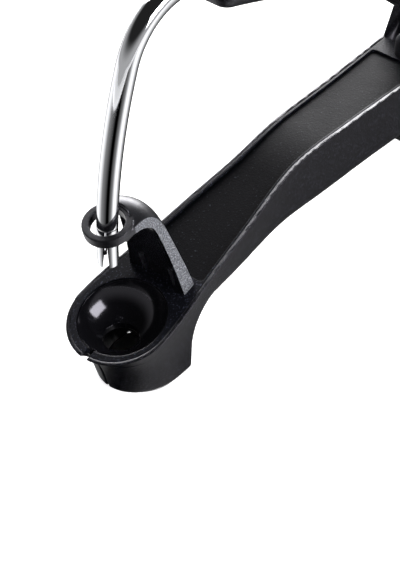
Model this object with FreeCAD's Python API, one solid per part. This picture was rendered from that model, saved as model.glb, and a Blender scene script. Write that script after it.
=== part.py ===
import FreeCAD, Part
import math
import os

os.makedirs("parts", exist_ok=True)
V = FreeCAD.Vector

# Units are millimetres. X runs along the arm from the cup to the hinge, Z is up from the plane that the
# skirt stands on, Y is across. X = 0 is at the stripper ring, Y = 0 is the symmetry plane.

# The finished solids are moved along X so that the origin is under the object's middle
middle_x = 71.7

# Rim and deck plane
rim_radius = 14.1            # outer radius of the rim round the cup
rim_centre_x = 3.6
rim_height = 19.4            # height of the deck plane at X = 0
deck_slope = 15.6            # rise of the deck plane along the arm, degrees
draft = 0.0432               # side walls lean in by this much per mm going down

# Skirt under the cup
skirt_front_x = -2.6
skirt_back_x = 17.6
skirt_half_width = 11.6
skirt_round_centre_x = 11.3  # centre of the skirt's elliptic front
skirt_back_height = 7.0      # straight height of the back wall
neck_radius = 9.2            # hollow curve from the skirt's back to the belly
front_slot = 2.0             # width of the notch through the rim's front
skirt_corner_radius = 1.6
foot_round = 0.5             # rounding of the skirt's lower edge

# Arm
waist_x = 60.0
waist_half_width = 8.0
grip_x = 92.0
grip_half_width = 9.1
ear_start_x = 127.0
ear_half_width = 10.9
rear_x = 154.0
rear_half_width = 11.6
deck_bend_x = 58.0           # the deck plane bends to level from here
deck_bend_radius = 70.0
belly_round = 5.5            # rounding of the belly's edges
heel_start_x = 112.0
heel_x = 136.0
heel_lift = 0.6              # heel's moulding stands this high on its pad
heel_floor = 3.4
rear_corner_radius = 7.0
wall = 2.0
partition_x = 15.4           # wall between the skirt and the arm's hollow
partition_thickness = 3.0

# Hinge
pivot_x = 141.5
pivot_height = 42.3
pin_radius = 2.0
pin_head_radius = 3.6
pin_head_height = 1.2
spotface_depth = 1.3
clip_height = 1.0
ear_radius = 10.5
ear_gap = 14.0
hub_radius = 9.0
washer_height = 0.5
washer_radius = 5.0
bush_radius = 3.1
pin_clearance = 0.05
side_clearance = 0.06
travel_close = 15.0          # degrees from rest to pressed
travel_open = 4.0            # degrees from rest to fully open
stop_clearance = 0.12
tail_height = 36.5           # underside of the hub's stop tail at rest
tail_start_x = 146.0
tail_end_x = 150.4
ledge_start_x = 148.8

# Deck, bowl and panel
lip = 1.0                    # shell wall left outside the deck
deck_thickness = 2.8
seat_clearance = 0.05
deck_end_x = 126.0
bowl_radius = 12.5           # inner sphere of the bowl
bowl_mouth_radius = 11.75
bowl_wall = 1.5
bowl_flange = 0.35
bowl_room_gap = 0.35
bowl_collar = 3.8            # depth of the bowl's straight collar
exit_radius = 4.8
exit_x = 3.0
border = 1.6                 # deck border left beside the panel
panel_drop = 0.7             # panel's top face below the border
panel_thickness = 1.0
panel_start_x = 21.8
panel_end_x = 119.0
panel_corner = 1.2

# Hood and ring
ring_height = 53.3           # top face of the ring at its centre
ring_x = 0.5
ring_tilt = 11.2
ring_hole_radius = 4.32
ring_radius = 6.45
ring_thickness = 2.3
ring_step = 0.1              # the ring stands this much proud of the hood's faces
hood_crown = 2.3             # how far the hood's back bulges at its middle
hood_hollow = 1.5            # how far its inner face follows
hood_half_span = 9.6
hood_bend_x = 6.3            # where the hood's top starts to bend down
hood_bend_radius = 3.75
hood_lean = 62.8             # slope of the leg just after the bend, degrees
hood_leg_radius = 116.0
hood_inner_bend_x = 4.0
hood_inner_bend_radius = 4.4
hood_inner_lean = 74.6
hood_shoulder_half = 8.2     # half width at the bend
hood_foot_half = 9.25
hood_foot_x = 18.4           # middle of the feet on the deck
hood_foot_depth = 4.0        # the legs' outline runs on this far under the deck before it is cut off
hood_foot_flattening = 0.45

# Rod
rod_radius = 2.6
rod_tip_height = 41.3
rod_arc_top = 92.0
rod_bend_radius = 18.0
rod_in_handle = 25.0
prong_slot_depth = 11.0
prong_slot_tip = 2.2
prong_slot_root = 0.8
crown_bore_radius = 1.2
crown_point_depth = 2.4
crown_point_radius = 2.35

# Lever
lever_front_slope = 12.0
lever_lead = 5.0             # straight rod left in front of the handle
lever_over = 6.8             # thickness above the parting arc
lever_under = 6.2            # thickness below it
lever_front_half = 7.4
lever_grip_half = 9.2
lever_grip_x = 62.0
lever_grip_end_x = 104.0
lever_neck_x = 127.5
lever_cap_end_x = 129.0
lever_round = 3.6
lever_nose_round = 4.5
lever_wall = 2.2
lever_hollow_start_x = 62.0
lever_hollow_end_x = 123.0
grip_start_x = 56.0
grip_end_x = 114.0
grip_border = 2.6
grip_sink = 0.8
grip_proud = 0.4
ferrule_radius = 4.4
ferrule_length = 4.6
ferrule_sunk = 1.2

# Screws and small parts
screw_radius = 1.25
screw_core_radius = 1.0
screw_head_radius = 2.3
screw_head_height = 1.5
screw_drive_radius = 0.9
screw_drive_depth = 0.9
boss_radius = 3.0
counterbore_depth = 1.6
boss_gap = 0.1
thread_length = 5.0
deck_screw_x = (38.0, 70.0, 104.0)
shell_boss_height = 6.0
lever_screw_x = (69.0, 92.0, 115.0)
hood_screw_y = 5.0
hood_screw_length = 7.0
hood_screw_radius = 1.0
hood_screw_head = 1.9
pad_height = 2.0
pad_sink = 1.4
pad_half_width = 5.6
pad_margin = 2.4
bumper_radius = 3.0
bumper_x = 123.0
bumper_foot = 0.8
rod_pin_radius = 1.25
rod_pin_back = 13.0          # along the rod from the handle's front

# Spring
wire_radius = 0.5
coil_radius = 4.6
coil_pitch = 1.5
coil_full_turns = 3
spring_leg = 12.0
coil_slot_half = 3.8
coil_room = 0.5
spring_rest_x = 130.0

slope = math.tan(math.radians(deck_slope))
belly_height = skirt_back_height + neck_radius
neck_x = skirt_back_x + neck_radius
high = 90.0
pivot = V(pivot_x, 0, pivot_height)


def box(x0, x1, y0, y1, z0, z1):
    return Part.makeBox(x1 - x0, y1 - y0, z1 - z0, V(x0, y0, z0))


def rod_of(start, direction, radius, length):
    return Part.makeCylinder(radius, length, start, direction)


def across(x, z, radius, y0, y1):
    # Cylinder along Y, from y0 to y1
    return rod_of(V(x, y0, z), V(0, 1, 0), radius, y1 - y0)


def line(a, b):
    return Part.LineSegment(a, b).toShape()


def arc(a, b, c):
    return Part.Arc(a, b, c).toShape()


def on_circle(centre_x, centre_z, radius, degrees):
    angle = math.radians(degrees)
    return V(centre_x + radius * math.cos(angle), 0, centre_z + radius * math.sin(angle))


def slab(edges, half_width):
    # Side profile pushed out evenly to both sides of Y = 0
    face = Part.Face(Part.Wire(edges))
    face.translate(V(0, -half_width, 0))
    return face.extrude(V(0, 2 * half_width, 0))


def curve(points, start=None, end=None):
    shape = Part.BSplineCurve()
    if start is None:
        shape.interpolate(Points=points)
    else:
        shape.interpolate(Points=points, InitialTangent=start, FinalTangent=end)
    return shape.toShape()


def tangent_point(outside, centre, radius, side):
    # Where a line from a point touches a circle; side is 1 or -1
    gap = outside - centre
    distance = gap.Length
    angle = math.atan2(gap.z, gap.x) + side * math.acos(radius / distance)
    return V(centre.x + radius * math.cos(angle), 0, centre.z + radius * math.sin(angle))


# The deck's top line: a slope, an arc, then level
bend_end_x = deck_bend_x + deck_bend_radius * math.sin(math.radians(deck_slope))
bend_centre_z = rim_height + slope * deck_bend_x - deck_bend_radius * math.cos(math.radians(deck_slope))
deck_level = bend_centre_z + deck_bend_radius


def deck_z(x):
    if x <= deck_bend_x:
        return rim_height + slope * x
    if x >= bend_end_x:
        return deck_level
    return bend_centre_z + math.sqrt(deck_bend_radius ** 2 - (bend_end_x - x) ** 2)


def deck_line(x0, x1, shift):
    # Edges of the deck's top line from x0 to x1, moved up by shift
    def at(x):
        return V(x, 0, deck_z(x) + shift)
    middle_x = bend_end_x - deck_bend_radius * math.sin(math.radians(deck_slope / 2))
    edges = [line(at(x0), at(deck_bend_x))]
    edges.append(arc(at(deck_bend_x), at(middle_x), at(bend_end_x)))
    edges.append(line(at(bend_end_x), at(x1)))
    return edges


def deck_band(x0, x1, top, bottom):
    # Layer that follows the deck, between two shifts of its top line
    edges = deck_line(x0, x1, top)
    edges.append(line(V(x1, 0, deck_z(x1) + top), V(x1, 0, deck_z(x1) + bottom)))
    edges += deck_line(x0, x1, bottom)
    edges.append(line(V(x0, 0, deck_z(x0) + bottom), V(x0, 0, deck_z(x0) + top)))
    return slab(Part.__sortEdges__(edges), 30.0)


def side_half(x):
    # Half width of the outline in the deck plane, by straight steps between the named places
    places = ((rim_centre_x, rim_radius), (waist_x, waist_half_width), (grip_x, grip_half_width),
              (ear_start_x, ear_half_width), (rear_x, rear_half_width))
    for (x0, w0), (x1, w1) in zip(places, places[1:]):
        if x <= x1:
            return w0 + (w1 - w0) * (x - x0) / (x1 - x0)
    return rear_half_width


def outline(share, flare, inset):
    # One level of the arm's outline. share runs from 0 at the skirt's foot to 1 in the deck plane, and
    # flare says how much of the rim's extra width is reached there.
    centre_x = skirt_round_centre_x + (rim_centre_x - skirt_round_centre_x) * share
    front_x = skirt_front_x + (rim_centre_x - rim_radius - skirt_front_x) * flare
    half = skirt_half_width + (rim_radius - skirt_half_width) * flare
    a = centre_x - front_x - inset
    b = half - inset
    low = rim_height * share
    rise = slope * share
    widths = [half]
    stations = [centre_x, 24.0, 42.0, waist_x, 76.0, grip_x, ear_start_x, rear_x - inset]
    for x in stations[1:]:
        widths.append(side_half(x) - draft * (rim_height + slope * x) * (1.0 - share))
    near = [V(x, inset - w, low + rise * x) for x, w in zip(stations, widths)]
    off = [V(x, w - inset, low + rise * x) for x, w in zip(stations, widths)]
    along = V(1, 0, rise)
    points = []
    steps = 16
    for i in range(steps + 1):
        angle = math.pi * i / steps
        x = centre_x - a * math.sin(angle)
        points.append(V(x, -b * math.cos(angle), low + rise * x))
    front = curve(points, V(-1, 0, -rise), along)
    return Part.Wire([front, curve(off, along, along), line(off[-1], near[-1]), curve(near, along, along)])


def arm_form(inset):
    # Everything inside the arm's leaning side walls, from the foot's plane to the deck plane
    levels = ((0.0, 0.0), (0.35, 0.2), (0.7, 0.5), (1.0, 1.0))
    return Part.makeLoft([outline(share, flare, inset) for share, flare in levels], True, False)


def heel_curve(inset):
    # Two equal arcs from the belly down to the heel, with the point where each one ends
    run = heel_x - heel_start_x
    fall = belly_height - heel_lift
    radius = (run * run + fall * fall) / (4 * fall)
    turn = math.degrees(math.asin(run / (2 * radius)))
    low = belly_height - radius
    top = heel_lift + radius
    outer = radius + inset
    inner = radius - inset
    first = arc(on_circle(heel_start_x, low, outer, 90), on_circle(heel_start_x, low, outer, 90 - turn / 2),
                on_circle(heel_start_x, low, outer, 90 - turn))
    second = arc(on_circle(heel_x, top, inner, 270 - turn), on_circle(heel_x, top, inner, 270 - turn / 2),
                 on_circle(heel_x, top, inner, 270))
    return [first, second]


def shell_profile():
    # Side view of the whole lower arm with its ears
    left = -20.0
    back = rear_x
    rear_arc_x = back - rear_corner_radius
    rear_arc_z = heel_lift + rear_corner_radius
    front_foot = V(ear_start_x, 0, deck_level)
    back_foot = V(back, 0, deck_level)
    ear_front = tangent_point(front_foot, pivot, ear_radius, -1)
    ear_back = tangent_point(back_foot, pivot, ear_radius, 1)
    start = V(left, 0, deck_z(left))
    edges = [line(V(left, 0, 0), V(skirt_back_x, 0, 0)),
             line(V(skirt_back_x, 0, 0), V(skirt_back_x, 0, skirt_back_height)),
             arc(V(skirt_back_x, 0, skirt_back_height), on_circle(neck_x, skirt_back_height, neck_radius, 135),
                 V(neck_x, 0, belly_height)),
             line(V(neck_x, 0, belly_height), V(heel_start_x, 0, belly_height))]
    edges += heel_curve(0.0)
    edges += [line(V(heel_x, 0, heel_lift), V(rear_arc_x, 0, heel_lift)),
              arc(V(rear_arc_x, 0, heel_lift), on_circle(rear_arc_x, rear_arc_z, rear_corner_radius, -45),
                  V(back, 0, rear_arc_z)),
              line(V(back, 0, rear_arc_z), back_foot),
              line(back_foot, ear_back),
              arc(ear_back, V(pivot_x, 0, pivot_height + ear_radius), ear_front),
              line(ear_front, front_foot)]
    edges += deck_line(left, ear_start_x, 0.0)
    edges.append(line(start, V(left, 0, 0)))
    return Part.__sortEdges__(edges)


def arm_hollow_profile():
    # Side view of the arm's hollow, from the partition behind the skirt to the hinge
    start_x = partition_x + partition_thickness
    radius = neck_radius + wall
    reach = neck_x - start_x
    start_z = skirt_back_height + math.sqrt(radius ** 2 - reach ** 2)
    middle = on_circle(neck_x, skirt_back_height, radius, 90 + math.degrees(math.asin(reach / radius)) / 2)
    floor = heel_lift + heel_floor
    well_x = rear_x - wall
    edges = [arc(V(start_x, 0, start_z), middle, V(neck_x, 0, belly_height + wall)),
             line(V(neck_x, 0, belly_height + wall), V(heel_start_x, 0, belly_height + wall))]
    edges += heel_curve(wall)
    low = V(heel_x, 0, heel_lift + wall)
    edges += [line(low, V(well_x, 0, heel_lift + wall)),
              line(V(well_x, 0, heel_lift + wall), V(well_x, 0, high)),
              line(V(well_x, 0, high), V(start_x, 0, high)),
              line(V(start_x, 0, high), V(start_x, 0, start_z))]
    hollow = slab(Part.__sortEdges__(edges), 30.0)
    return hollow.cut(box(heel_start_x, rear_x, -30, 30, 0, floor))


def edges_near(shape, test):
    # Edges whose middle and quarter points all pass the test
    chosen = []
    for edge in shape.Edges:
        first, last = edge.ParameterRange
        points = [edge.valueAt(first + (last - first) * share) for share in (0.25, 0.5, 0.75)]
        if all(test(point) for point in points):
            chosen.append(edge)
    return chosen


def belly_z(x):
    # Height of the arm's underside behind the neck's hollow curve
    if x < neck_x:
        return skirt_back_height + math.sqrt(max(0.0, neck_radius ** 2 - (neck_x - x) ** 2))
    return belly_height


def screw(start, direction, head_radius, shaft_radius, length):
    # Screw with its head's outer face at start and its shaft along direction
    head = rod_of(start, direction, head_radius, screw_head_height)
    shaft = rod_of(start, direction, shaft_radius, screw_head_height + length)
    drive = rod_of(start, direction, screw_drive_radius, screw_drive_depth)
    return head.fuse(shaft).cut(drive)


deck_up = V(-math.sin(math.radians(deck_slope)), 0, math.cos(math.radians(deck_slope)))
cup_centre = V(rim_centre_x, 0, deck_z(rim_centre_x))
ring_up = V(-math.sin(math.radians(ring_tilt)), 0, math.cos(math.radians(ring_tilt)))
ring_centre = V(ring_x, 0, ring_height)
half_gap = ear_gap / 2
hub_half = half_gap - washer_height - side_clearance
spotface_y = 9.3
slot_box = box(-30, exit_x - exit_radius - 4.4, -front_slot / 2, front_slot / 2, -1, high)

# Lever's parting arc: it leaves the rod's straight end without a kink and runs through the hinge
rod_arc_radius = (ring_centre - pivot).Length
top_angle = math.degrees(math.asin((rod_arc_top - pivot_height) / rod_arc_radius))
arc_top = on_circle(pivot_x, pivot_height, rod_arc_radius, 180 - top_angle)
bend_centre = arc_top + (pivot - arc_top).normalize() * rod_bend_radius
bend_start_angle = 180 - top_angle
bend_end_angle = 90 - lever_front_slope
rod_bend_end = on_circle(bend_centre.x, bend_centre.z, rod_bend_radius, bend_end_angle)
front_way = V(math.cos(math.radians(lever_front_slope)), 0, -math.sin(math.radians(lever_front_slope)))
handle_front = rod_bend_end + front_way * lever_lead
chord = pivot - handle_front
half_turn = math.degrees(chord.getAngle(front_way))
lever_radius = chord.Length / (2 * math.sin(math.radians(half_turn)))
lever_centre = handle_front - on_circle(0, 0, lever_radius, bend_end_angle)
front_angle = bend_end_angle
hinge_angle = bend_end_angle - 2 * half_turn
neck_way = V(-math.sin(math.radians(hinge_angle)), 0, math.cos(math.radians(hinge_angle)))
neck_out = V(math.cos(math.radians(hinge_angle)), 0, math.sin(math.radians(hinge_angle)))
print("rod arc radius", round(rod_arc_radius, 2), "lever radius", round(lever_radius, 1),
      "hinge angle", round(hinge_angle, 2), "handle front", handle_front)


def lever_band(low, top, start_angle=front_angle, end_angle=hinge_angle):
    # Layer of the handle between two offsets from the parting arc
    def at(offset, degrees):
        return on_circle(lever_centre.x, lever_centre.z, lever_radius + offset, degrees)
    middle = (start_angle + end_angle) / 2
    edges = [arc(at(top, start_angle), at(top, middle), at(top, end_angle)),
             line(at(top, end_angle), at(low, end_angle)),
             arc(at(low, end_angle), at(low, middle), at(low, start_angle)),
             line(at(low, start_angle), at(top, start_angle))]
    return slab(edges, 30.0)


def lever_angle(x, offset=0.0):
    # Place round the parting arc whose point, at that offset, has this X
    return math.degrees(math.acos((x - lever_centre.x) / (lever_radius + offset)))


def lever_plan(inset, start_x, end_x):
    # The handle seen from above, between two places
    front = (handle_front.x - 4.0, lever_front_half)
    waist = ((lever_grip_end_x + lever_neck_x) / 2, (lever_grip_half + hub_half) / 2)
    stations = [front[0], (front[0] + lever_grip_x) / 2, lever_grip_x]
    stations += [(lever_grip_x + lever_grip_end_x) / 2, lever_grip_end_x, waist[0] + 1.0, lever_neck_x]
    widths = [front[1], (front[1] + lever_grip_half) / 2, lever_grip_half - 0.1]
    widths += [lever_grip_half, lever_grip_half - 0.4, waist[1] - 0.4, hub_half]
    near = [V(x, inset - w, 0) for x, w in zip(stations, widths)]
    off = [V(x, w - inset, 0) for x, w in zip(stations, widths)]
    along = V(1, 0, 0)
    reach = pivot_x + 20
    edges = [curve(near, along, along), line(near[-1], V(reach, near[-1].y, 0)),
             line(V(reach, near[-1].y, 0), V(reach, off[-1].y, 0)), line(V(reach, off[-1].y, 0), off[-1]),
             curve(off, along, along), line(off[0], near[0])]
    plan = Part.Face(Part.Wire(Part.__sortEdges__(edges))).extrude(V(0, 0, high + 60))
    return plan.common(box(start_x, end_x, -20, 20, 0, high + 60))


def lever_offset(point):
    # Distance of a point from the parting arc, outward positive
    flat = V(point.x, 0, point.z)
    return (flat - lever_centre).Length - lever_radius


def make_shell():
    form = arm_form(0.0)
    body = form.common(slab(shell_profile(), 30.0))

    def on_neck(point):
        inside = skirt_back_x + 0.05 < point.x < neck_x - 0.05
        return inside and skirt_back_height < point.z < belly_height

    # The rounding grows from the skirt's corner along the neck to that of the belly, on each side by itself
    for side in (-1, 1):
        neck = edges_near(body, lambda p: on_neck(p) and p.y * side > 3)
        start, end = skirt_corner_radius, belly_round
        if neck[0].valueAt(neck[0].FirstParameter).x > neck[0].valueAt(neck[0].LastParameter).x:
            start, end = end, start
        body = body.makeFillet(start, end, neck)
    body = body.makeFillet(foot_round, edges_near(body, lambda p: p.z < 0.001))
    inner = arm_form(wall)
    hollow = inner.common(arm_hollow_profile()).common(box(0, deck_end_x, -30, 30, 0, high))
    well = arm_hollow_profile().common(box(deck_end_x - 1, rear_x, -half_gap, half_gap, 0, high))
    skirt = inner.common(box(-30, partition_x, -30, 30, -1, high))
    rebate = arm_form(lip).common(deck_band(-20, deck_end_x + seat_clearance, 8.0, -deck_thickness))
    body = body.cut(hollow).cut(well).cut(skirt).cut(rebate).cut(slot_box)
    for x in deck_screw_x:
        top = belly_height + shell_boss_height
        body = body.fuse(rod_of(V(x, 0, belly_height + 0.5), V(0, 0, 1), boss_radius, shell_boss_height - 0.5))
        body = body.cut(rod_of(V(x, 0, belly_height - 1), V(0, 0, 1), screw_head_radius + seat_clearance,
                               counterbore_depth + 1))
        body = body.cut(rod_of(V(x, 0, belly_height), V(0, 0, 1), screw_radius, top - belly_height + 1))
    ledge_z = stop_ledge_height()
    floor = heel_lift + heel_floor
    body = body.fuse(box(ledge_start_x, rear_x - wall, -half_gap, half_gap, floor, ledge_z))
    rib_top = pivot_height - coil_radius - wire_radius - pin_clearance
    body = body.fuse(box(spring_rest_x - 1.0, spring_rest_x + 1.0, -half_gap, half_gap, floor, rib_top))
    body = body.cut(across(pivot_x, pivot_height, pin_radius + pin_clearance, -20, 20))
    for side in (-1, 1):
        start, end = sorted((side * spotface_y, side * 20))
        body = body.cut(across(pivot_x, pivot_height, pin_head_radius + 0.3, start, end))
    body = body.cut(bowl_room(bowl_room_gap))
    for start in hood_screw_starts():
        pocket = rod_of(start - deck_up, deck_up, hood_screw_head + bowl_room_gap, 5)
        body = body.cut(pocket)
    return body.cut(pad_solid())


def stop_ledge_height():
    # The hub's tail comes down by this much when the lever is fully open
    turn = math.radians(travel_open)
    reach = tail_end_x - pivot_x
    depth = pivot_height - tail_height
    return pivot_height - reach * math.sin(turn) - depth * math.cos(turn) - stop_clearance


def pad_solid():
    end_x = rear_x - rear_corner_radius - pad_margin / 2
    pad = box(heel_x + pad_margin / 2, end_x, -pad_half_width, pad_half_width, 0, pad_height)
    corners = edges_near(pad, lambda p: 0.1 < p.z < pad_height - 0.1)
    return pad.makeFillet(2.0, corners)


def make_deck():
    deck = arm_form(lip + seat_clearance).common(deck_band(-20, deck_end_x, 0.0, -deck_thickness))
    for x in deck_screw_x:
        low = belly_height + shell_boss_height + boss_gap
        boss = rod_of(V(x, 0, low), V(0, 0, 1), boss_radius, deck_z(x) - 1.8 - low)
        deck = deck.fuse(boss)
        deck = deck.cut(rod_of(V(x, 0, low - 1), V(0, 0, 1), screw_radius, thread_length + 1))
    deck = deck.cut(rod_of(cup_centre - deck_up * 10, deck_up, bowl_mouth_radius, 20))
    for side in (-1, 1):
        start = V(hood_foot_x, side * hood_screw_y, deck_z(hood_foot_x))
        deck = deck.cut(rod_of(start - deck_up * 5, deck_up, hood_screw_radius, 10))
    deck = deck.cut(panel_room())
    deck = deck.cut(rod_of(V(bumper_x, 0, deck_level - bumper_foot), V(0, 0, 1), bumper_radius, 5))
    return deck.cut(slot_box)


def panel_plan():
    plan = arm_form(lip + seat_clearance + border - lip)
    return plan.common(box(panel_start_x, panel_end_x, -20, 20, 0, high))


def round_ends(shape, radius, start_x, end_x):
    def at_end(point):
        return abs(point.y) > 4 and (point.x < start_x + 0.01 or point.x > end_x - 0.01)
    upright = [e for e in edges_near(shape, at_end) if abs(e.tangentAt(e.FirstParameter).z) > 0.9]
    return shape.makeFillet(radius, upright)


def panel_room():
    layer = deck_band(0, deck_end_x, 1.0, -panel_drop - panel_thickness)
    return round_ends(panel_plan().common(layer), panel_corner, panel_start_x, panel_end_x)


def make_panel():
    plan = arm_form(border + seat_clearance * 2)
    plan = plan.common(box(panel_start_x + seat_clearance, panel_end_x - seat_clearance, -20, 20, 0, high))
    panel = plan.common(deck_band(0, deck_end_x, -panel_drop, -panel_drop - panel_thickness))
    return round_ends(panel, panel_corner, panel_start_x + seat_clearance, panel_end_x - seat_clearance)


def bowl_centre():
    rise = math.sqrt(bowl_radius ** 2 - (bowl_mouth_radius - bowl_flange) ** 2)
    return cup_centre + deck_up * (rise - 0.3)


def bowl_room(gap):
    # The space that the bowl's outside takes up, larger by a gap
    ball = Part.makeSphere(bowl_radius + bowl_wall + gap, bowl_centre())
    tube_radius = bowl_mouth_radius + bowl_flange + gap
    tube = rod_of(cup_centre - deck_up * 20, deck_up, tube_radius, 20)
    collar_room = rod_of(cup_centre - deck_up * (bowl_collar + gap), deck_up, tube_radius, bowl_collar + gap)
    return ball.common(tube).fuse(collar_room)


def make_bowl():
    # A spherical bowl hung in the deck's opening, with a flange under the deck and the pit's exit hole
    outer = Part.makeSphere(bowl_radius + bowl_wall, bowl_centre())
    inner = Part.makeSphere(bowl_radius, bowl_centre())
    below = rod_of(cup_centre - deck_up * 20, deck_up, bowl_mouth_radius, 20 - 0.3)
    bowl = outer.common(below)
    foot = cup_centre - deck_up * bowl_collar
    under_deck = deck_thickness * math.cos(math.radians(deck_slope))
    collar = rod_of(foot, deck_up, bowl_mouth_radius, bowl_collar - 0.3)
    flange = rod_of(foot, deck_up, bowl_mouth_radius + bowl_flange, bowl_collar - under_deck)
    bowl = bowl.fuse(collar).fuse(flange).cut(inner)
    bowl = bowl.cut(rod_of(V(exit_x, 0, 0), V(0, 0, 1), exit_radius, 30))
    return bowl.cut(slot_box)


def hood_path(drop, bend_x, bend_radius, lean, leg_curve):
    # One edge of the hood seen from the side: along the ring's tilt, round a tight bend, then down a leg that
    # steepens. Each place comes with its outward direction and its share of the bulge.
    angle = math.radians(ring_tilt)
    way = V(math.cos(angle), 0, math.sin(angle))
    out = V(-math.sin(angle), 0, math.cos(angle))
    start = V(ring_x, 0, ring_height - drop)
    bend_start = start + way * ((bend_x - ring_x) / math.cos(angle))
    places = [(start, out, 0.0), (start + (bend_start - start) * 0.55, out, 0.0)]
    centre = bend_start - out * bend_radius
    last = -math.radians(lean)
    for i in range(6):
        turn = angle + (last - angle) * i / 5
        out = V(-math.sin(turn), 0, math.cos(turn))
        places.append((centre + out * bend_radius, out, math.sin(math.pi / 2 * i / 5) ** 2))
    point = places[-1][0]
    leg = (point.z - deck_z(hood_foot_x) + hood_foot_depth) / math.sin(math.radians(lean))
    turn = last
    for i in range(5):
        turn -= leg / 5 * leg_curve / 2
        point = point + V(math.cos(turn), 0, math.sin(turn)) * (leg / 5)
        turn -= leg / 5 * leg_curve / 2
        out = V(-math.sin(turn), 0, math.cos(turn))
        places.append((point, out, 1 - hood_foot_flattening * ((i + 1) / 5) ** 2))
    return places


def hood_section(y):
    # The hood's outline on a plane at y: both edges, bulged out by a share that falls to none at the sides
    share = 1 - (y / hood_half_span) ** 2
    outer = hood_path(ring_step, hood_bend_x, hood_bend_radius, hood_lean, 1 / hood_leg_radius)
    inner = hood_path(ring_thickness - ring_step, hood_inner_bend_x, hood_inner_bend_radius, hood_inner_lean, 0.0)
    top = [place + out * (hood_crown * share * part) for place, out, part in outer]
    low = [place + out * (hood_hollow * share * part) for place, out, part in inner]
    edges = [curve(top), line(top[-1], low[-1]), curve(low), line(low[0], top[0])]
    wire = Part.Wire(Part.__sortEdges__(edges))
    wire.translate(V(0, y, 0))
    return wire


def hood_plan():
    # The hood seen from above: it widens from the ring to its feet
    reach = hood_foot_x + 6
    stations = (ring_x, hood_inner_bend_x + 2, hood_bend_x + 3, hood_foot_x - 4, reach)
    widths = (ring_radius - 0.3, hood_shoulder_half - 0.6, hood_shoulder_half, hood_foot_half - 0.4, hood_foot_half)
    near = [V(x, -w, 0) for x, w in zip(stations, widths)]
    off = [V(x, w, 0) for x, w in zip(stations, widths)]
    edges = [curve(near), line(near[-1], off[-1]), curve(off), line(off[0], near[0])]
    return Part.Face(Part.Wire(Part.__sortEdges__(edges))).extrude(V(0, 0, high))


def make_hood():
    count = 7
    sections = [hood_section(-hood_half_span + 2 * hood_half_span * i / (count - 1)) for i in range(count)]
    arch = Part.makeLoft(sections, True, False).common(hood_plan())
    reach = hood_foot_x + 20
    under = [line(V(0, 0, deck_z(0)), V(reach, 0, deck_z(reach))), line(V(reach, 0, deck_z(reach)), V(reach, 0, 0)),
             line(V(reach, 0, 0), V(0, 0, 0)), line(V(0, 0, 0), V(0, 0, deck_z(0)))]
    arch = arch.cut(slab(under, 30.0))
    ring = rod_of(ring_centre - ring_up * ring_thickness, ring_up, ring_radius, ring_thickness)
    hood = arch.fuse(ring)
    hood = hood.cut(rod_of(ring_centre - ring_up * 10, ring_up, ring_hole_radius, 20))
    for side in (-1, 1):
        foot = V(hood_foot_x, side * hood_screw_y, deck_z(hood_foot_x))
        hood = hood.cut(rod_of(foot - deck_up, deck_up, hood_screw_radius, hood_screw_length + 1))
    return hood


def hood_screw_starts():
    # Where the two screw heads start, under the deck
    depth = deck_thickness * math.cos(math.radians(deck_slope)) + screw_head_height
    feet = [V(hood_foot_x, side * hood_screw_y, deck_z(hood_foot_x)) for side in (-1, 1)]
    return [foot - deck_up * depth for foot in feet]


def make_hood_screws():
    length = deck_thickness + hood_screw_length - 1.2
    screws = [screw(start, deck_up, hood_screw_head, hood_screw_radius, length) for start in hood_screw_starts()]
    return Part.makeCompound(screws)


def make_deck_screws():
    screws = []
    for x in deck_screw_x:
        start = V(x, 0, belly_height + counterbore_depth - screw_head_height)
        length = shell_boss_height - counterbore_depth + boss_gap + thread_length - 0.3
        screws.append(screw(start, V(0, 0, 1), screw_head_radius, screw_radius, length))
    return Part.makeCompound(screws)


def make_bumper():
    # A domed rubber buffer that the handle's underside meets when the lever is fully pressed
    turn = math.radians(-travel_close)
    gap = lever_centre - pivot
    closed_x = pivot_x + gap.x * math.cos(turn) + gap.z * math.sin(turn)
    closed_z = pivot_height - gap.x * math.sin(turn) + gap.z * math.cos(turn)
    reach = lever_radius - lever_under - bumper_radius - stop_clearance
    dome_z = closed_z + math.sqrt(reach ** 2 - (bumper_x - closed_x) ** 2)
    print("bumper dome centre", round(dome_z, 2), "deck level", round(deck_level, 2))
    foot = deck_level - bumper_foot
    column = rod_of(V(bumper_x, 0, foot), V(0, 0, 1), bumper_radius, dome_z - foot)
    return column.fuse(Part.makeSphere(bumper_radius, V(bumper_x, 0, dome_z)).cut(
        box(0, 200, -20, 20, 0, dome_z))).removeSplitter()


def make_pin():
    head = across(pivot_x, pivot_height, pin_head_radius, -spotface_y - pin_head_height, -spotface_y)
    head = head.makeFillet(0.5, edges_near(head, lambda p: p.y < -spotface_y - pin_head_height + 0.01))
    return head.fuse(across(pivot_x, pivot_height, pin_radius, -spotface_y, spotface_y + clip_height + 0.4))


def make_clip():
    clip = across(pivot_x, pivot_height, pin_head_radius - 0.2, spotface_y, spotface_y + clip_height)
    clip = clip.cut(across(pivot_x, pivot_height, pin_radius, 0, 20))
    for turn in (30, 150, 270):
        notch = on_circle(pivot_x, pivot_height, pin_radius, turn)
        clip = clip.cut(across(notch.x, notch.z, 0.55, 0, 20))
    return clip


def make_washers():
    washers = []
    for side in (-1, 1):
        start, end = sorted((side * (half_gap - washer_height), side * half_gap))
        ring = across(pivot_x, pivot_height, washer_radius, start, end)
        washers.append(ring.cut(across(pivot_x, pivot_height, pin_radius + pin_clearance, -20, 20)))
    return Part.makeCompound(washers)


def make_bushes():
    bushes = []
    for side in (-1, 1):
        start, end = sorted((side * coil_slot_half, side * hub_half))
        ring = across(pivot_x, pivot_height, bush_radius, start, end)
        bushes.append(ring.cut(across(pivot_x, pivot_height, pin_radius + pin_clearance, -20, 20)))
    return Part.makeCompound(bushes)


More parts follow.
